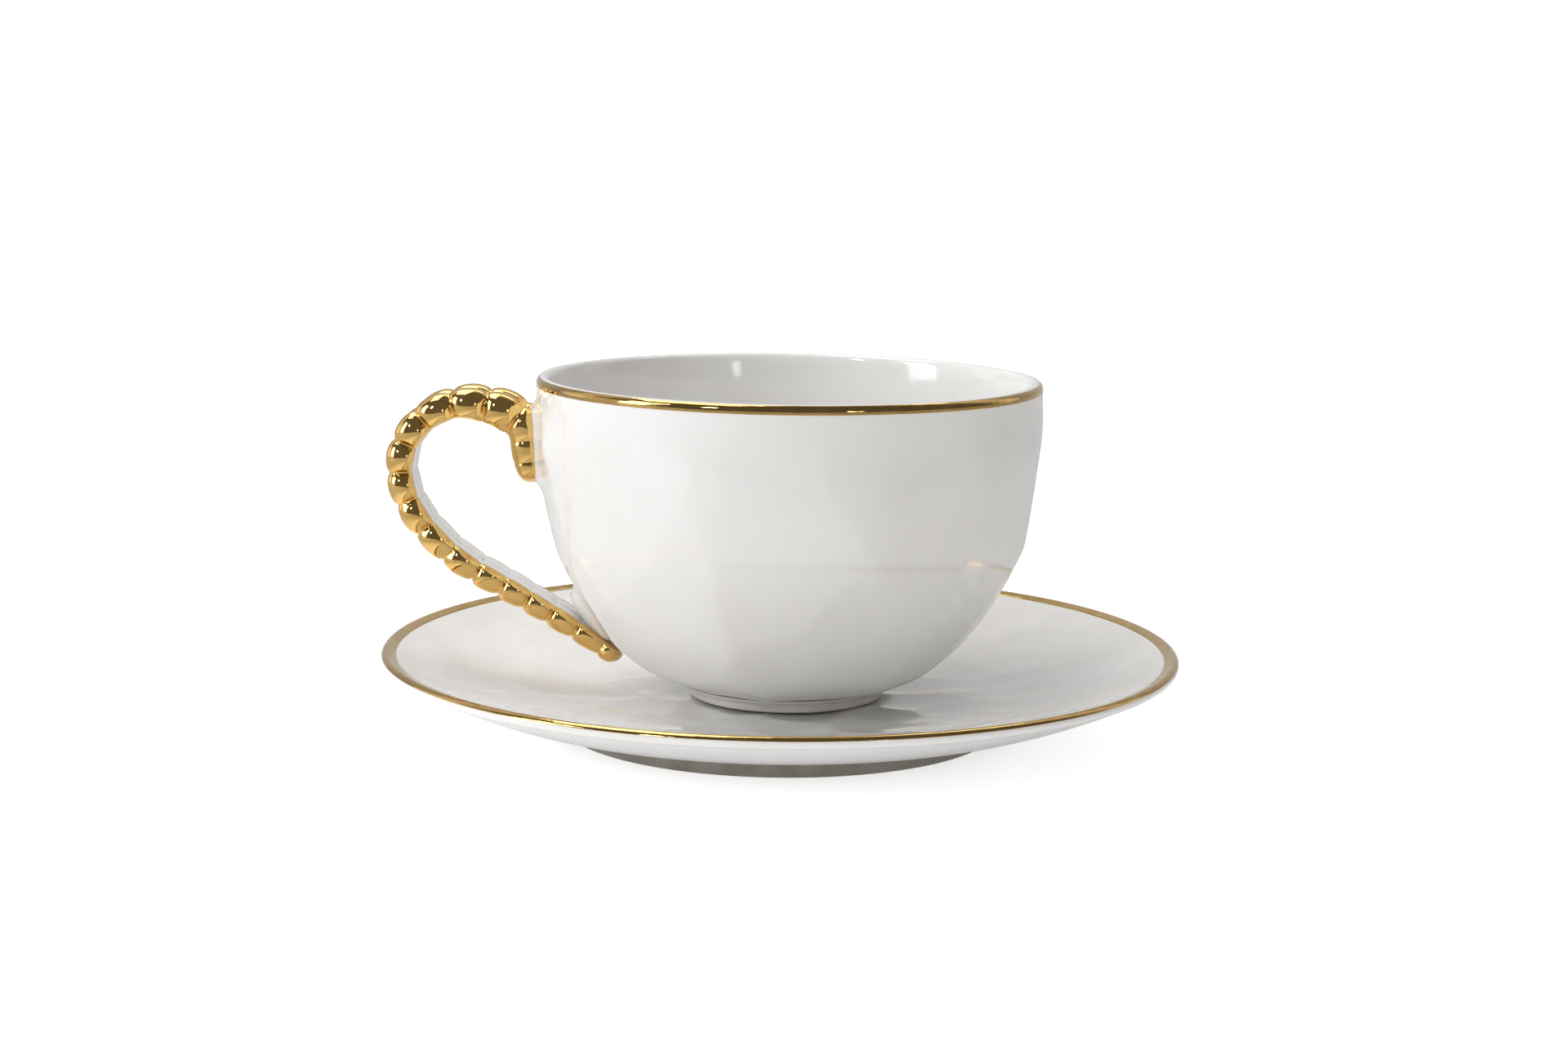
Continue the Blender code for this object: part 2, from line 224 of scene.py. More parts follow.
def line_of_points(name, points, attributes):
    """A mesh of points joined in order, with a number on each point for each attribute."""
    mesh = bpy.data.meshes.new(name)
    mesh.from_pydata([tuple(p) for p in points], [(i, i + 1) for i in range(len(points) - 1)], [])
    for label, values in attributes.items():
        mesh.attributes.new(label, "FLOAT", "POINT").data.foreach_set("value", values)
    return mesh


def grown(name, guide, tree, **inputs):
    """The plain mesh object that a tree grows from a guide mesh. Inputs are given by their names."""
    seed = bpy.data.objects.new(name + "_guide", guide)
    bpy.context.scene.collection.objects.link(seed)
    modifier = seed.modifiers.new("tree", "NODES")
    modifier.node_group = tree
    sockets = {s.name: s.identifier for s in tree.interface.items_tree if s.in_out == "INPUT"}
    for label, value in inputs.items():
        modifier[sockets[label.replace("_", " ").capitalize()]] = value
    seed.update_tag()
    bpy.context.view_layer.update()
    evaluated = seed.evaluated_get(bpy.context.evaluated_depsgraph_get())
    mesh = bpy.data.meshes.new_from_object(evaluated)
    mesh.name = name
    bpy.data.objects.remove(seed)
    bpy.data.meshes.remove(guide)
    thing = bpy.data.objects.new(name, mesh)
    bpy.context.scene.collection.objects.link(thing)
    return thing


# ---------------------------------------------------------------- turned ware

def turned_ware_tree():
    """Turns an outline once round the axis, presses soft hammered facets into it, raises the two roots of
    the handle out of its wall, and lets its top dip a little toward the right."""
    tree, given = geometry_tree("turned_ware", [
        ("Segments", "Int", 320), ("Axis x", "Float", 0.0),
        ("Facet size", "Float", 16 * MM), ("Facet depth", "Float", 0.0),
        ("Lip height", "Float", 1.0), ("Lip drop", "Float", 0.0), ("Root rise", "Float", 0.0),
        ("Material", "Material", None),
    ])
    profile, segments = given["Geometry"], given["Segments"]
    rows = add(tree, "GeometryNodeAttributeDomainSize", {"Geometry": profile}).outputs["Point Count"]
    columns = add(tree, "FunctionNodeIntegerMath", [segments, 1], operation="ADD").outputs[0]
    grid = add(tree, "GeometryNodeMeshGrid", {"Vertices X": columns, "Vertices Y": rows})
    index = tree.nodes.new("GeometryNodeInputIndex").outputs[0]
    column = add(tree, "FunctionNodeIntegerMath", [index, rows], operation="DIVIDE_FLOOR").outputs[0]
    row = add(tree, "FunctionNodeIntegerMath", [index, rows], operation="MODULO").outputs[0]

    def at_row(kind, value, input_name="Value"):
        node = add(tree, "GeometryNodeSampleIndex", {"Geometry": profile, "Index": row}, data_type=kind)
        tree.links.new(value, node.inputs[input_name])
        return node.outputs[0]

    here = tree.nodes.new("GeometryNodeInputPosition").outputs[0]
    point = add(tree, "ShaderNodeSeparateXYZ", [at_row("FLOAT_VECTOR", here)])
    angle = number(tree, column) * (2 * pi) / number(tree, segments)
    radius = number(tree, point.outputs["X"])
    turned = add(tree, "ShaderNodeCombineXYZ", [
        radius * angle.math("COSINE") + number(tree, given["Axis x"]), radius * angle.math("SINE"),
        point.outputs["Z"],
    ])
    placed = add(tree, "GeometryNodeSetPosition", {"Geometry": grid.outputs["Mesh"],
                                                   "Position": turned.outputs[0]})
    outside = add(tree, "GeometryNodeInputNamedAttribute", {"Name": "pressed"}, data_type="FLOAT")
    kept = add(tree, "GeometryNodeStoreNamedAttribute",
               {"Geometry": placed.outputs[0], "Name": "pressed",
                "Value": at_row("FLOAT", outside.outputs[0])}, data_type="FLOAT", domain="POINT")
    welded = add(tree, "GeometryNodeMergeByDistance",
                 {"Geometry": kept.outputs[0], "Distance": WELD})
    pressed = number(tree, add(tree, "GeometryNodeInputNamedAttribute", {"Name": "pressed"},
                               data_type="FLOAT").outputs[0])

    # A facet is hollow in its middle and stands up where it meets the next one. A slow sway varies them.
    size = number(tree, given["Facet size"])
    facets = add(tree, "ShaderNodeTexVoronoi", {
        "Vector": here, "Scale": size.math("POWER", -1.0), "Smoothness": 0.14,
    }, feature="SMOOTH_F1")
    hollow = 0.55 - (number(tree, facets.outputs["Distance"]) * 1.2).clamped() ** 2.0
    sway = add(tree, "ShaderNodeTexNoise", {"Vector": here, "Scale": size.math("POWER", -1.0) * 0.5,
                                            "Detail": 1.0})
    uneven = (number(tree, sway.outputs[0]) - 0.5) * 0.8
    dent = (hollow + uneven) * pressed * number(tree, given["Facet depth"])

    place = add(tree, "ShaderNodeSeparateXYZ", [here])
    x, y, z = (number(tree, place.outputs[i]) for i in range(3))
    rise = handle_root(x, y, z, *UPPER_ROOT).math("ADD", handle_root(x, y, z, *LOWER_ROOT))
    rise = rise * pressed.eased(0.01, 0.2) * number(tree, given["Root rise"])
    out = rise - dent * (1.0 - rise.eased(0.0, 0.8 * MM))
    normal = tree.nodes.new("GeometryNodeInputNormal").outputs[0]
    push = add(tree, "ShaderNodeVectorMath", {0: normal, "Scale": out}, operation="SCALE")
    moved = add(tree, "GeometryNodeSetPosition", {"Geometry": welded.outputs[0],
                                                  "Offset": push.outputs[0]})
    # The dip is almost all at the top, is deepest on the right and has a slight ripple
    share = (z / number(tree, given["Lip height"])) ** 4.0
    lean = ((x / CUP_RADIUS) * 0.5 + 0.5).clamped()
    ripple = ((x * (1.0 / (9 * MM)) + y * (1.0 / (14 * MM))).math("SINE") * 0.12 + 1.0) * lean
    drop = share * ripple * number(tree, given["Lip drop"]) * -1.0
    lower = add(tree, "ShaderNodeCombineXYZ", {"Z": drop})
    dipped = add(tree, "GeometryNodeSetPosition", {"Geometry": moved.outputs[0],
                                                   "Offset": lower.outputs[0]})
    close_tree(tree, dipped.outputs[0], given["Material"])
    return tree


def handle_root(x, y, z, low, high, half, reach):
    """How far the wall swells at a root of the handle, from 0 to 1: full under the strap, then a hollow
    fillet. Only the wall on the handle's side takes part."""
    above = (z - high).math("MAXIMUM", 0.0)
    below = (low - z).math("MAXIMUM", 0.0)
    away = (y * y + above * above * 4.0 + below * below * 6.0).math("SQRT")
    fillet = (1.0 - (away - half) * (1.0 / (reach - half))).clamped() ** 2.2
    return fillet * (1.0 - x.eased(CUP_AXIS - CUP_RADIUS * 0.5, CUP_AXIS - CUP_RADIUS * 0.3))


def spread(start, end, steps):
    """Evenly spaced numbers from start to end, both included."""
    return [start + (end - start) * i / steps for i in range(steps + 1)]


def arc(radius, height, size, start, end, steps):
    """Points round part of a circle, as (radius, height), by angles in degrees."""
    return [(radius + size * cos(radians(a)), height + size * sin(radians(a)))
            for a in spread(start, end, steps)]


def bowl_radius(height):
    """Outer radius of the bowl at a height."""
    down = min(max(0, LIP_HEIGHT - height) / OUTER_DEPTH, 1)
    return CUP_RADIUS * (1 - down ** OUTER_FULLNESS) ** (1 / OUTER_FULLNESS)


def bowl_side(radius, depth, fullness, lowest, steps):
    """Points down one side of the bowl, from the lip to its lowest height."""
    reach = (LIP_HEIGHT - lowest) / depth
    downs = [reach * sin(a) for a in spread(0, pi / 2, steps)]
    return [(radius * max(0, 1 - d ** fullness) ** (1 / fullness), LIP_HEIGHT - depth * d)
            for d in downs]


def saucer_top(radius):
    """Height of the dish's upper face at a radius."""
    run = SAUCER_LIP_MIDDLE - WELL_RADIUS
    along = max(0, radius - WELL_RADIUS) / run
    return SAUCER_WELL + (SAUCER_RIM - SAUCER_WELL) * along ** TOP_SWEEP


def saucer_under(radius):
    """Height of the dish's lower face at a radius."""
    run = SAUCER_LIP_MIDDLE - SAUCER_FOOT_RADIUS
    along = max(0, radius - SAUCER_FOOT_RADIUS) / run
    rise = SAUCER_RIM - 2 * SAUCER_LIP - SAUCER_UNDERSIDE
    return SAUCER_UNDERSIDE + rise * along ** UNDER_SWEEP


def ware(name, outline, material, slot, body, nodes, pressed=None, **inputs):
    """One piece of turned ware: its outline as (radius, height), and how deep the facets go at each point."""
    pressed = pressed or [0.0] * len(outline)
    guide = line_of_points(name, [(max(r, 0), 0, h) for r, h in outline], {"pressed": pressed})
    thing = grown(name, guide, turned_ware, material=material, **inputs)
    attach(thing, body)
    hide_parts(*nodes)
    return thing


CUP = {"segments": 300, "axis_x": CUP_AXIS, "facet_size": 17 * MM, "facet_depth": 0.95 * MM,
       "lip_height": CUP_RIM, "lip_drop": 0.3 * MM}
SAUCER = {"segments": 360, "axis_x": 0.0, "facet_size": 11 * MM, "facet_depth": 0.5 * MM}


def cup_bowl():
    """The bowl from the middle of its base, up the outside, over the lip and down to its floor."""
    outside = bowl_side(CUP_RADIUS - SKIN, OUTER_DEPTH, OUTER_FULLNESS, CUP_BASE, 90)[::-1]
    lip = arc(CUP_RADIUS - LIP_RADIUS, LIP_HEIGHT, LIP_RADIUS - SKIN, 0, 180, 20)[1:-1]
    inside = bowl_side(CUP_RADIUS - WALL, INNER_DEPTH, INNER_FULLNESS, INNER_FLOOR, 76)
    inside = [(r - INNER_LEAN * (LIP_HEIGHT - h) * max(0, 1 - (LIP_HEIGHT - h) / INNER_DEPTH) ** 3, h)
              for r, h in inside]
    under = [(r, CUP_BASE) for r in spread(0, outside[0][0], 6)[:-1]]
    outline = under + outside + lip + inside[:-1] + [(0, INNER_FLOOR)]
    pressed = [0.0] * len(under)
    pressed += [min(1, max(0, (LIP_HEIGHT - PLAIN_BELOW_LIP - h) / FACETS_FADE)) for _, h in outside]
    pressed += [0.0] * (len(outline) - len(pressed))
    return ware("cup_bowl_glazed", outline, porcelain_glaze, "porcelain", "cup", ["cup_bowl"], pressed,
                root_rise=ROOT_RISE, **CUP)


def cup_rim_gold():
    """A closed skin from just below the lip to part of the way over it."""
    drops = [CUP_GOLD_DROP * s for s in (1, 0.66, 0.33)]
    outer = [(bowl_radius(LIP_HEIGHT - drop), LIP_HEIGHT - drop) for drop in drops]
    outer += arc(CUP_RADIUS - LIP_RADIUS, LIP_HEIGHT, LIP_RADIUS, 0, CUP_GILDED, 16)
    inner = arc(CUP_RADIUS - LIP_RADIUS, LIP_HEIGHT, LIP_RADIUS - SKIN_BEDDED, CUP_GILDED, 0, 16)
    inner += [(r - SKIN_BEDDED, h) for r, h in outer[:len(drops)][::-1]]
    return ware("cup_rim_gold", outer + inner + outer[:1], rim_gold_painted_shade, "gold", "cup",
                ["cup_rim_gilding"], **CUP)


def saucer_dish():
    """The dish from the middle of its underside, out to the lip and back over its upper face."""
    under = [(r, SAUCER_UNDERSIDE) for r in spread(0, SAUCER_FOOT_RADIUS, 16)[:-1]]
    under += [(r, saucer_under(r)) for r in spread(SAUCER_FOOT_RADIUS, SAUCER_LIP_MIDDLE, 44)[:-1]]
    lip = arc(SAUCER_LIP_MIDDLE, SAUCER_RIM - SAUCER_LIP, SAUCER_LIP - SKIN, -90, 90, 16)[1:]
    top = [(r, saucer_top(r) - SKIN) for r in spread(SAUCER_LIP_MIDDLE, 0, 130)[1:]]
    outline = under + lip + top
    pressed = [0.0] * (len(outline) - len(top))
    pressed += [min(1, max(0, (SAUCER_LIP_MIDDLE - PLAIN_RIM - r) / RIM_FADE)) for r, _ in top]
    return ware("saucer_dish_glazed", outline, porcelain_glaze, "porcelain", "saucer", ["saucer_plate"],
                pressed, **SAUCER)


def saucer_rim_gold():
    """A closed skin from the lip's outer side over its crest and a little way in."""
    lip_height = SAUCER_RIM - SAUCER_LIP
    inward = [SAUCER_LIP_MIDDLE - SAUCER_GOLD_INWARD * s for s in (0.25, 0.5, 0.75, 1)]
    outer = arc(SAUCER_LIP_MIDDLE, lip_height, SAUCER_LIP, SAUCER_GILDED, 90, 14)
    outer += [(r, saucer_top(r)) for r in inward]
    inner = [(r, saucer_top(r) - SKIN_BEDDED) for r in inward[::-1]]
    inner += arc(SAUCER_LIP_MIDDLE, lip_height, SAUCER_LIP - SKIN_BEDDED, 90, SAUCER_GILDED, 14)
    return ware("saucer_rim_gold", outer + inner + outer[:1], rim_gold_painted_shade, "gold", "saucer",
                ["saucer_rim_gilding"], **SAUCER)


def foot(name, outer, width, height, base, flare, clay, node, body, axis_x):
    """A foot ring with a rounded edge below and hollow fillets above, let a little into the ware."""
    start = base + FOOT_EDGE
    tall = height - FOOT_EDGE
    top = base + height + FOOT_BEDDED
    inner = outer - width
    inner_flare = flare * INNER_FLARE
    ring = arc(outer - FOOT_EDGE, start, FOOT_EDGE, -90, 0, 6)
    ring += [(outer + flare * s ** FLARE_CURVE, start + tall * s) for s in spread(0.2, 1, 7)]
    ring += [(outer + flare, top), (inner - inner_flare, top)]
    ring += [(inner - inner_flare * s ** FLARE_CURVE, start + tall * s) for s in spread(1, 0.2, 7)]
    ring += arc(inner + FOOT_EDGE, start, FOOT_EDGE, 180, 270, 6)
    return ware(name, ring + ring[:1], clay, "bare_foot", body, [node], segments=240, axis_x=axis_x)


# ---------------------------------------------------------------- beaded handle

# Heights down from the cup's rim, and distances out from its widest circle
TIP_DROP, NECK_DROP, FOOT_DROP = 20.4 * MM, 10.6 * MM, 52.8 * MM
TOP_OUT, TOP_DROP = 12.5 * MM, 5.9 * MM
SIDE_OUT, SIDE_DROP = 24.9 * MM, 17.8 * MM
RUN_OUT, RUN_DROP = 9.8 * MM, 37.6 * MM
# How far the path stays clear of the wall, how closely it is sampled, and how many stations each way its
# direction is taken over
STAND_OFF = 2.0 * MM
STATION = 0.2 * MM
AIM_STATIONS = 6

# The section: half the distance between the two rows of beads, and how square its corners are
ROW_HALF_GAP = 3.5 * MM
CORNER = 3.2
# How far the gold goes round it each way from the groove between the rows, where pi is all the way
GILDED_TURN = 2.24

# Beads from the spur's tip to the lower end, by their shares of the strap: three long drops on the spur,
# fifteen on the loop. A bead's crown is flatter as CROWN grows smaller. The strap's ends round off over
# END_ROUND.
BEAD_SPANS = [4.4, 3.9, 4.6, 6.0, 6.1, 5.9, 5.3, 5.3, 5.45, 5.8, 6.2, 6.0, 5.4, 5.25, 5.1, 5.45, 5.8, 4.4]
CROWN = 0.55
END_ROUND = 2.6 * MM
ROUNDNESS = 2.2

# Values along the strap, as (share of its length, value): a bead's radius, how far it stands up between
# its two necks, the strap's thickness toward the outside and toward the finger, its width beyond a row's
# middle, and the share of a bead's length at which it peaks
BEAD_RADIUS = [(0, 2.2 * MM), (0.05, 2.9 * MM), (0.1, 3.2 * MM), (0.17, 3.35 * MM), (0.33, 3.25 * MM),
               (0.5, 3.1 * MM), (0.65, 2.95 * MM), (0.85, 2.7 * MM), (0.95, 2.35 * MM), (1, 1.9 * MM)]
BEAD_SWELL = [(0, 0.1 * MM), (0.08, 0.3 * MM), (0.17, 1.0 * MM), (0.6, 1.0 * MM), (0.85, 0.85 * MM),
              (1, 0.6 * MM)]
STRAP_THICK = [(0, 1.1 * MM), (0.13, 1.5 * MM), (0.25, 1.9 * MM), (0.6, 1.7 * MM), (1, 1.2 * MM)]
FINGER_THICK = [(0, 2.1 * MM), (0.06, 3.2 * MM), (0.14, 3.4 * MM), (0.18, 2.9 * MM), (0.25, 2.1 * MM),
                (0.5, 1.7 * MM), (0.7, 1.5 * MM), (1, 1.2 * MM)]
STRAP_WIDTH = [(0, 1.3 * MM), (0.2, 1.8 * MM), (0.6, 1.7 * MM), (1, 1.3 * MM)]
BEAD_PEAK = [(0, 0.6), (0.15, 0.5), (0.5, 0.5), (0.75, 0.36), (1, 0.34)]


def off_wall(drop, stand_off):
    """A point on the handle's side, clear of the bowl's wall by stand_off."""
    height = CUP_RIM - drop
    step = 0.1 * MM
    lean = Vector((step, bowl_radius(height + step) - bowl_radius(height))).angle(Vector((1, 0)))
    return Vector((CUP_AXIS - bowl_radius(height) - stand_off * cos(lean), 0, height - stand_off * sin(lean)))


def handle_path():
    """Points at an even spacing along the strap's middle, from the spur's tip to the lower end."""
    side = CUP_AXIS - CUP_RADIUS
    anchors = [
        (off_wall(TIP_DROP, STAND_OFF * 0.8), (-0.12, 1), 0, 3 * MM),
        (off_wall(NECK_DROP, STAND_OFF), (-0.1, 1), 3 * MM, 2.6 * MM),
        (Vector((side - TOP_OUT, 0, CUP_RIM - TOP_DROP)), (-1, 0), 5.5 * MM, 6.8 * MM),
        (Vector((side - SIDE_OUT, 0, CUP_RIM - SIDE_DROP)), (0, -1), 6.6 * MM, 9 * MM),
        (Vector((side - RUN_OUT, 0, CUP_RIM - RUN_DROP)), (0.88, -0.47), 7 * MM, 10 * MM),
        (off_wall(FOOT_DROP, STAND_OFF * 0.8), (0.72, -0.69), 6 * MM, 0),
    ]
    fine = []
    for (a, aim_a, _, out), (b, aim_b, back, _) in zip(anchors, anchors[1:]):
        leave = a + Vector((aim_a[0], 0, aim_a[1])).normalized() * out
        arrive = b - Vector((aim_b[0], 0, aim_b[1])).normalized() * back
        fine += interpolate_bezier(a, leave, arrive, b, 400)[bool(fine):]
    path, gone = [fine[0]], 0.0
    for a, b in zip(fine, fine[1:]):
        step = (b - a).length
        if gone + step >= STATION * len(path):
            path.append(a.lerp(b, (STATION * len(path) - gone) / step))
        gone += step
    return path


def blend_of(along, stops):
    """A size that changes smoothly through (place, size) stops along the strap."""
    for (a, start), (b, end) in zip(stops, stops[1:]):
        if along <= b:
            share = max(0, (along - a) / (b - a))
            return start + (end - start) * share * share * (3 - 2 * share)
    return stops[-1][1]


def handle_stations(path):
    """The numbers that shape the strap at each point of its path."""
    count = len(path) - 1
    length = count * STATION
    edges = bead_edges(length)
    sizes = {"bead": [], "swell": [], "necked": [], "strap": [], "finger": [], "width": [], "end": []}
    for i in range(count + 1):
        gone = i * STATION
        along = gone / length
        bead = max(k for k, edge in enumerate(edges) if gone >= edge - 1e-9)
        bead = min(bead, len(edges) - 2)
        phase = (gone - edges[bead]) / (edges[bead + 1] - edges[bead])
        peak = blend_of(along, BEAD_PEAK)
        skewed = phase / peak / 2 if phase < peak else 0.5 + (phase - peak) / (1 - peak) / 2
        tip = min(gone, length - gone) / END_ROUND
        sizes["bead"].append(blend_of(along, BEAD_RADIUS))
        sizes["necked"].append(blend_of(along, BEAD_SWELL))
        crown = max(0, 1 - abs(2 * skewed - 1) ** ROUNDNESS) ** CROWN
        sizes["swell"].append(crown * sizes["necked"][-1])
        sizes["strap"].append(blend_of(along, STRAP_THICK))
        sizes["finger"].append(blend_of(along, FINGER_THICK))
        sizes["width"].append(blend_of(along, STRAP_WIDTH))
        sizes["end"].append(max(0, 1 - (1 - min(tip, 1)) ** ROUNDNESS) ** (1 / ROUNDNESS))
    return sizes


def bead_edges(length):
    """Where each bead starts along the strap, and where the last one ends."""
    whole = sum(BEAD_SPANS)
    edges = [0.0]
    for span in BEAD_SPANS:
        edges.append(edges[-1] + span * length / whole)
    return edges


def beaded_strap_tree():
    """Sweeps the strap's section along its path: a flat finger side, and a round boss for each bead in a
    front and a back row. With Bedded at 0 it is the whole strap, let in by Coat depth. Otherwise it is a
    skin that reaches Half turn round the section each way, and Bedded is its thickness."""
    tree, given = geometry_tree("beaded_strap", [
        ("Around", "Int", 96), ("Half turn", "Float", pi), ("Coat depth", "Float", 0.0),
        ("Bedded", "Float", 0.0), ("Material", "Material", None),
    ])
    path = given["Geometry"]
    stations = add(tree, "GeometryNodeAttributeDomainSize", {"Geometry": path}).outputs["Point Count"]
    around = given["Around"]
    columns = add(tree, "FunctionNodeIntegerMath", [around, 1], operation="ADD").outputs[0]
    grid = add(tree, "GeometryNodeMeshGrid", {"Vertices X": stations, "Vertices Y": columns})
    index = tree.nodes.new("GeometryNodeInputIndex").outputs[0]
    station = add(tree, "FunctionNodeIntegerMath", [index, columns], operation="DIVIDE_FLOOR").outputs[0]
    column = number(tree, add(tree, "FunctionNodeIntegerMath", [index, columns],
                              operation="MODULO").outputs[0])

    def at_station(name, kind="FLOAT"):
        if name == "position":
            value = tree.nodes.new("GeometryNodeInputPosition").outputs[0]
        else:
            value = add(tree, "GeometryNodeInputNamedAttribute", {"Name": name}, data_type=kind).outputs[0]
        node = add(tree, "GeometryNodeSampleIndex", {"Geometry": path, "Index": station}, data_type=kind)
        tree.links.new(value, node.inputs["Value"])
        return number(tree, node.outputs[0])

    names = ("bead", "swell", "necked", "strap", "finger", "width", "end", "aim")
    bead, swell, necked, strap, finger, width, end, aim = map(at_station, names)

    # A skin goes out along its outer face on the first half of the columns, and back along its inner one
    share = column / number(tree, around)
    there = share * 2.0
    returning = there.math("GREATER_THAN", 1.0001)
    turn = (there * 2.0 - 1.0) * (1.0 - returning) + (3.0 - there * 2.0) * returning
    whole = number(tree, given["Bedded"]).math("LESS_THAN", 1e-7)
    turn = turn * (1.0 - whole) + (share * 2.0 - 1.0) * whole
    turn = turn * number(tree, given["Half turn"])
    inset = number(tree, given["Coat depth"])
    inset = inset + number(tree, given["Bedded"]) * returning * (1.0 - whole)

    # The section by bearing about the middle of one row, from the groove between the rows, out over the
    # boss, and round to the middle of the finger side. The other row is its mirror.
    side = turn.math("SIGN")
    groove = (strap / ROW_HALF_GAP).math("ARCTANGENT")
    bearing = groove + turn.math("ABSOLUTE") * (1 / pi) * (2 * pi - groove * 2.0)
    outward, inward = bearing.math("SINE"), bearing.math("COSINE")
    steep = outward.math("ABSOLUTE")
    finger_side = outward.math("LESS_THAN", 0.0)
    front = inward.math("LESS_THAN", 0.0)
    level = strap * (1.0 - finger_side) + finger * finger_side
    flat = (steep / (level + swell * 0.3)) ** CORNER
    edge = (inward.math("ABSOLUTE") / (width + swell * 0.7)) ** CORNER * front
    slab = (flat + edge) ** (-1 / CORNER)
    toward_front = inward.math("MINIMUM", 0.0) ** 2.0
    boss_radius = bead - (necked - swell) * (toward_front * 0.9 + 1.0)
    boss = boss_radius.math("SMOOTH_MIN", level / (steep + 0.08) + (1.0 - finger_side), 0.5 * MM)
    limit = ROW_HALF_GAP / inward.math("MAXIMUM", 1e-4)
    reach = slab.math("SMOOTH_MAX", boss, 0.4 * MM).math("MINIMUM", limit) - inset
    out = outward * reach * end
    deep = (ROW_HALF_GAP - inward * reach) * end * side

    place = add(tree, "ShaderNodeSeparateXYZ", [at_station("position", "FLOAT_VECTOR").socket])
    x, z = number(tree, place.outputs["X"]), number(tree, place.outputs["Z"])
    put = add(tree, "ShaderNodeCombineXYZ", [x + out * aim.math("COSINE"), deep, z + out * aim.math("SINE")])
    placed = add(tree, "GeometryNodeSetPosition", {"Geometry": grid.outputs["Mesh"],
                                                   "Position": put.outputs[0]})
    close_tree(tree, placed.outputs[0], given["Material"])
    return tree


def handle_piece(name, material, slot, nodes, **inputs):
    """One piece swept along the handle's path. Aim is the way out from the loop at each station."""
    path = handle_path()
    numbers = handle_stations(path)
    last = len(path) - 1
    numbers["aim"] = []
    for i in range(last + 1):
        ahead = path[min(i + AIM_STATIONS, last)] - path[max(i - AIM_STATIONS, 0)]
        numbers["aim"].append(atan2(-ahead.x, ahead.z))
    for i in range(1, last + 1):
        turned_by = numbers["aim"][i] - numbers["aim"][i - 1]
        numbers["aim"][i] -= 2 * pi * round(turned_by / (2 * pi))
    guide = line_of_points(name, path, numbers)
    thing = grown(name, guide, beaded_strap, material=material, **inputs)
    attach(thing, "cup")
    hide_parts(*nodes)
    return thing


def handle_porcelain():
    return handle_piece("handle_strap_glazed", porcelain_glaze, "porcelain",
                        ["handle_core", "upper_luting_pad", "lower_luting_pad"],
                        around=144, coat_depth=SKIN)


def handle_gold():
    return handle_piece("handle_beads_gold", bead_gold, "gold", ["handle_gilding"],
                        around=156, half_turn=GILDED_TURN, bedded=SKIN_BEDDED)


# ---------------------------------------------------------------- finishes

def finish(name):
    """A new material: its tree, its shader and its Object coordinates."""
    material = bpy.data.materials.new(name)
    material.use_nodes = True
    tree = material.node_tree
    place = tree.nodes.new("ShaderNodeTexCoord").outputs["Object"]
    return material, tree, tree.nodes["Principled BSDF"], place


def noise(tree, place, size, detail=3.0, roughness=0.55):
    """A soft pattern from 0 to 1 whose lumps are about size across."""
    node = add(tree, "ShaderNodeTexNoise", {"Vector": place, "Scale": 1 / size, "Detail": detail,
                                            "Roughness": roughness})
    return number(tree, node.outputs["Fac"])


def ramp(tree, share, *stops):
    """A colour from stops of (place, colour)."""
    node = add(tree, "ShaderNodeValToRGB", [share])
    marks = node.color_ramp.elements
    while len(marks) < len(stops):
        marks.new(0.5)
    for mark, (at, colour) in zip(marks, stops):
        mark.position = at
        mark.color = (*colour, 1)
    return node.outputs["Color"]


def relief(tree, shader, height, depth):
    """Fine bumps of this depth on a shader, from a pattern of heights."""
    bump = add(tree, "ShaderNodeBump", {"Strength": 1.0, "Distance": depth, "Height": height})
    tree.links.new(bump.outputs[0], shader.inputs["Normal"])


def porcelain_finish():
    """Clear glaze over white porcelain: faint clouds of tone, rare iron specks, and a glassy surface with
    a very slight ripple."""
    material, tree, shader, place = finish("porcelain_glaze")
    clouds = noise(tree, place, 26 * MM, 2.0)
    colour = ramp(tree, clouds, (0.3, (0.835, 0.826, 0.815)), (0.7, (0.88, 0.876, 0.87)))
    grains = add(tree, "ShaderNodeTexVoronoi", {"Vector": place, "Scale": 1 / (3.4 * MM)})
    tree.links.new(noise(tree, place, 5 * MM, 1.0).socket, grains.inputs["Randomness"])
    speck = number(tree, grains.outputs["Distance"]).eased(0.02, 0.035)
    chosen = number(tree, add(tree, "ShaderNodeSeparateXYZ", [grains.outputs["Color"]]).outputs[0])
    shown = ((1.0 - speck) * chosen.eased(0.93, 0.95)).clamped()
    mixed = add(tree, "ShaderNodeMix", {"Factor": shown * 0.45, 6: colour, 7: (0.30, 0.22, 0.16, 1)},
                data_type="RGBA")
    tree.links.new(mixed.outputs[2], shader.inputs["Base Color"])
    wear = noise(tree, place, 3.5 * MM, 5.0)
    tree.links.new((wear * 0.07 + 0.045).socket, shader.inputs["Roughness"])
    shader.inputs["IOR"].default_value = 1.52
    shader.inputs["Coat Weight"].default_value = 0.15
    shader.inputs["Coat Roughness"].default_value = 0.03
    ripple = noise(tree, place, 2.6 * MM, 1.0) + noise(tree, place, 0.5 * MM, 1.0) * 0.06
    relief(tree, shader, ripple.socket, 0.012 * MM)
    return material


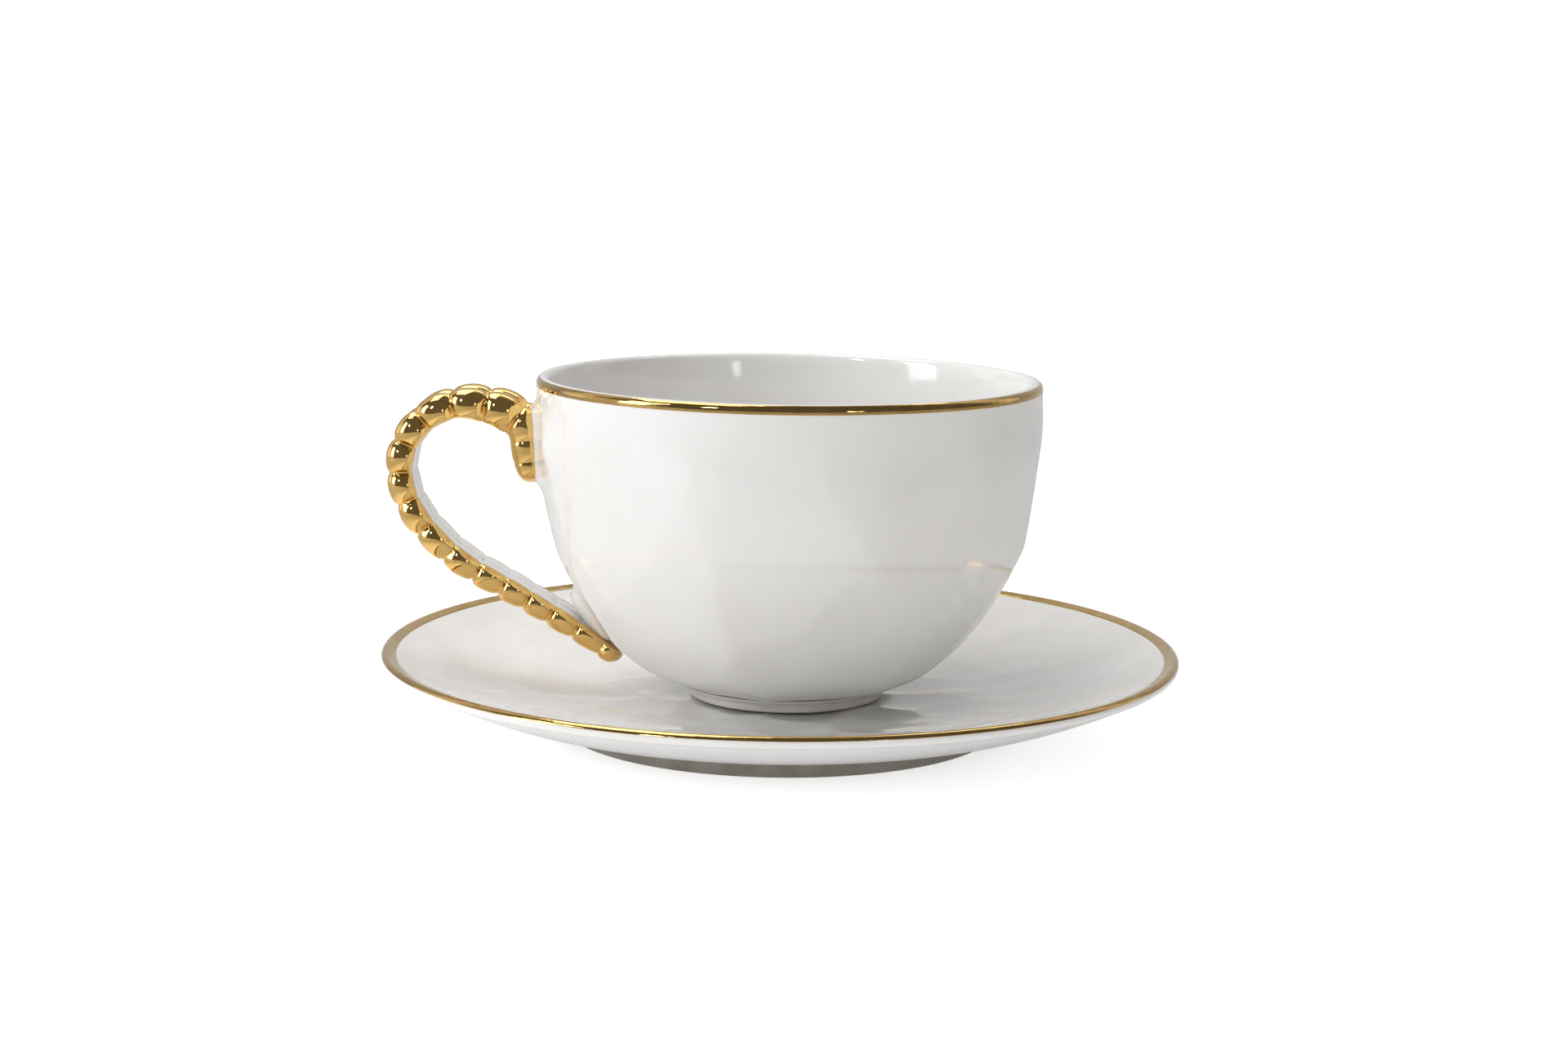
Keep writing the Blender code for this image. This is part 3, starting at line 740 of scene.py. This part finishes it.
def clay_finish(name, deep, pale, dullness):
    """Porcelain of a foot ring, bare or thinly glazed: rubbed paler in places, with a fine grit. Its
    roughness starts from dullness."""
    material, tree, shader, place = finish(name)
    rubbed = noise(tree, place, 6 * MM, 4.0)
    colour = ramp(tree, rubbed, (0.3, deep), (0.62, pale))
    tree.links.new(colour, shader.inputs["Base Color"])
    grit = noise(tree, place, 0.3 * MM, 3.0, 0.7)
    tree.links.new((grit * 0.25 + dullness).socket, shader.inputs["Roughness"])
    relief(tree, shader, (grit + noise(tree, place, 1.8 * MM) * 0.6).socket, 0.03 * MM)
    return material


def gold_finish(name, pale, deep, gloss, lump, lump_depth):
    """Burnished gold lustre: paler and deeper patches from the brush, fine rubbing marks, and a gentle
    waviness with lumps of this size and depth."""
    material, tree, shader, place = finish(name)
    patches = noise(tree, place, 4 * MM, 4.0, 0.6)
    colour = ramp(tree, patches, (0.3, deep), (0.68, pale))
    tree.links.new(colour, shader.inputs["Base Color"])
    shader.inputs["Metallic"].default_value = 1.0
    stretched = add(tree, "ShaderNodeMapping", {"Vector": place, "Scale": (1, 1, 9)})
    rubbing = noise(tree, stretched.outputs[0], 1.1 * MM, 4.0, 0.65)
    tree.links.new((rubbing * gloss + gloss * 0.55).socket, shader.inputs["Roughness"])
    relief(tree, shader, (noise(tree, place, lump, 2.0) + rubbing * 0.03).socket, lump_depth)
    return material


porcelain_glaze = porcelain_finish()
# The saucer's foot is bare clay, and its colour is darkened further as painted shade: the shadow under the
# dish is painted into it.
saucer_clay_painted_shade = clay_finish("saucer_foot_shaded_clay", (0.26, 0.24, 0.20), (0.36, 0.335, 0.29), 0.4)
cup_clay = clay_finish("cup_foot_clay", (0.75, 0.725, 0.685), (0.83, 0.81, 0.78), 0.1)
bead_gold = gold_finish("bead_gold", (0.84, 0.56, 0.20), (0.75, 0.47, 0.15), 0.06,
                        2.2 * MM, 0.02 * MM)
# The rims' gold is a darker copy of the beads' gold, as painted shade: the dim room the rims mirror is
# painted into its colour.
rim_gold_painted_shade = gold_finish("rim_gold_painted_shade", (0.62, 0.41, 0.155), (0.47, 0.31, 0.11), 0.04,
                       5 * MM, 0.11 * MM)


# ---------------------------------------------------------------- the object

turned_ware = turned_ware_tree()
beaded_strap = beaded_strap_tree()

saucer_dish()
saucer_rim_gold()
foot("saucer_foot_shaded_clay", SAUCER_FOOT_RADIUS, SAUCER_FOOT_WIDTH, SAUCER_UNDERSIDE - SAUCER_FOOT_BASE,
     SAUCER_FOOT_BASE, SAUCER_FOOT_FLARE, saucer_clay_painted_shade, "saucer_foot_ring", "saucer", 0.0)
cup_bowl()
cup_rim_gold()
foot("cup_foot_clay", CUP_FOOT_RADIUS, CUP_FOOT_WIDTH, CUP_BASE - CUP_FOOT_BASE,
     CUP_FOOT_BASE, CUP_FOOT_FLARE, cup_clay, "cup_foot_ring", "cup", CUP_AXIS)
handle_porcelain()
handle_gold()


# ---------------------------------------------------------------- studio

def paint(name, colour, roughness, glow, backlight):
    """Pale paint with a glow, which the camera sees brighter by backlight. Polished surfaces mirror it
    darker away from the cup."""
    material, tree, shader, place = finish(name)
    shade = noise(tree, place, 0.4, 2.0)
    dim = tuple(c * 0.985 for c in colour)
    pale = ramp(tree, shade, (0.3, dim), (0.7, colour))
    away = number(tree, add(tree, "ShaderNodeVectorMath", [place], operation="LENGTH").outputs["Value"])
    mirrored = number(tree, add(tree, "ShaderNodeLightPath").outputs["Is Glossy Ray"])
    fall = mirrored * away.eased(0.08, 0.16) * 0.6
    mixed = add(tree, "ShaderNodeMix", {"Factor": fall, 6: pale, 7: (0.1, 0.1, 0.1, 1)}, data_type="RGBA")
    tree.links.new(mixed.outputs[2], shader.inputs["Base Color"])
    shader.inputs["Roughness"].default_value = roughness
    shader.inputs["Emission Color"].default_value = (1, 1, 1, 1)
    seen = number(tree, add(tree, "ShaderNodeLightPath").outputs["Is Camera Ray"])
    tree.links.new((seen * backlight + glow).socket, shader.inputs["Emission Strength"])
    return material


def floor():
    """A pale floor that runs up into a backdrop far behind the cup."""
    half, front, back, rise, curve = 3.0, -3.0, 2.2, 2.4, 1.0
    side = [(front, 0.0), (back - curve, 0.0)]
    side += [(back - curve + curve * sin(a), curve - curve * cos(a)) for a in spread(0, pi / 2, 16)[1:]]
    side += [(back, rise)]
    points = [(x, y, z) for y, z in side for x in (-half, half)]
    faces = [(2 * i, 2 * i + 1, 2 * i + 3, 2 * i + 2) for i in range(len(side) - 1)]
    mesh = bpy.data.meshes.new("pale_floor")
    mesh.from_pydata(points, [], faces)
    mesh.shade_smooth()
    mesh.materials.append(paint("pale_paint", (0.93, 0.93, 0.93), 0.7, 0.16, 0.45))
    thing = bpy.data.objects.new("pale_floor", mesh)
    bpy.context.scene.collection.objects.link(thing)


def softbox(name, place, aim, width, height, power, colour=(1, 1, 1)):
    """A rectangular light at a place, turned to face its aim."""
    light = bpy.data.lights.new(name, "AREA")
    light.shape = "RECTANGLE"
    light.size, light.size_y = width, height
    light.energy = power
    light.color = colour
    thing = bpy.data.objects.new(name, light)
    thing.location = place
    thing.rotation_euler = (Vector(aim) - Vector(place)).to_track_quat("-Z", "Y").to_euler()
    bpy.context.scene.collection.objects.link(thing)


def studio_air():
    """Pale room light, dimmer from the right, and plain white to the camera. Polished surfaces mirror a
    dim room with a bright wall on the left and another behind the cup."""
    world = bpy.data.worlds.new("studio")
    world.use_nodes = True
    tree = world.node_tree
    way = tree.nodes.new("ShaderNodeTexCoord").outputs["Generated"]
    parts = add(tree, "ShaderNodeSeparateXYZ", [way])
    x, y, z = (number(tree, parts.outputs[i]) for i in range(3))
    rays = add(tree, "ShaderNodeLightPath").outputs
    seen, mirrored = number(tree, rays["Is Camera Ray"]), number(tree, rays["Is Glossy Ray"])
    low_front = (1.0 - y.eased(-0.6, 0.1)) * (1.0 - z.eased(0.0, 0.5))
    room = (low_front * 0.34 + 0.60) * (1.0 - x.eased(-0.5, 0.6) * 0.62)
    left_wall = 1.0 - x.eased(-0.95, -0.8)
    mirror_room = 0.14 + left_wall * 0.7 + y.eased(0.1, 0.45) * 0.75
    level = room + (mirror_room - room) * mirrored
    level = level + (1.0 - level) * seen
    shade = tree.nodes["Background"]
    tree.links.new(ramp(tree, seen, (0.0, (1.0, 0.978, 0.95)), (1.0, (1, 1, 1))), shade.inputs["Color"])
    tree.links.new(level.socket, shade.inputs["Strength"])
    bpy.context.scene.world = world


def camera():
    """A camera in front of the cup, looking a little down at it. Its pitch is down, its yaw is to the
    right, and its roll turns it about its own axis."""
    pitch, yaw, roll = radians(9.17), radians(0.05), radians(0.69)
    forward = Vector((sin(yaw) * cos(pitch), cos(yaw) * cos(pitch), -sin(pitch)))
    right = Vector((cos(yaw), -sin(yaw), 0))
    up = right.cross(forward)
    across = cos(roll) * right + sin(roll) * up
    upright = -sin(roll) * right + cos(roll) * up
    turn = Matrix((across, upright, -forward)).transposed()
    data = bpy.data.cameras.new("camera")
    data.sensor_width = 36
    data.lens = 60.64
    data.clip_start, data.clip_end = 0.01, 20
    thing = bpy.data.objects.new("camera", data)
    place = Vector((0, -491.5 * MM, 117.9 * MM))
    thing.matrix_world = Matrix.Translation(place) @ turn.to_4x4()
    bpy.context.scene.collection.objects.link(thing)
    bpy.context.scene.camera = thing


middle = (0, 0, 35 * MM)
floor()
softbox("window_left", (-1.0, -0.32, 0.46), middle, 0.34, 0.75, 3.7, (0.93, 0.965, 1.0))
softbox("window_right", (0.46, -0.88, 0.24), middle, 0.07, 0.2, 0.25)
softbox("window_left_high", (-0.62, -0.8, 0.72), middle, 0.12, 0.2, 1.2)
softbox("top", (-0.38, 0.2, 1.15), middle, 0.7, 0.6, 4.6, (1.0, 0.975, 0.945))
softbox("backdrop_wash", (0, 1.0, 1.8), (0, 2.2, 0.5), 2.0, 0.4, 14)
studio_air()
camera()
bpy.context.scene.view_settings.view_transform = "Standard"
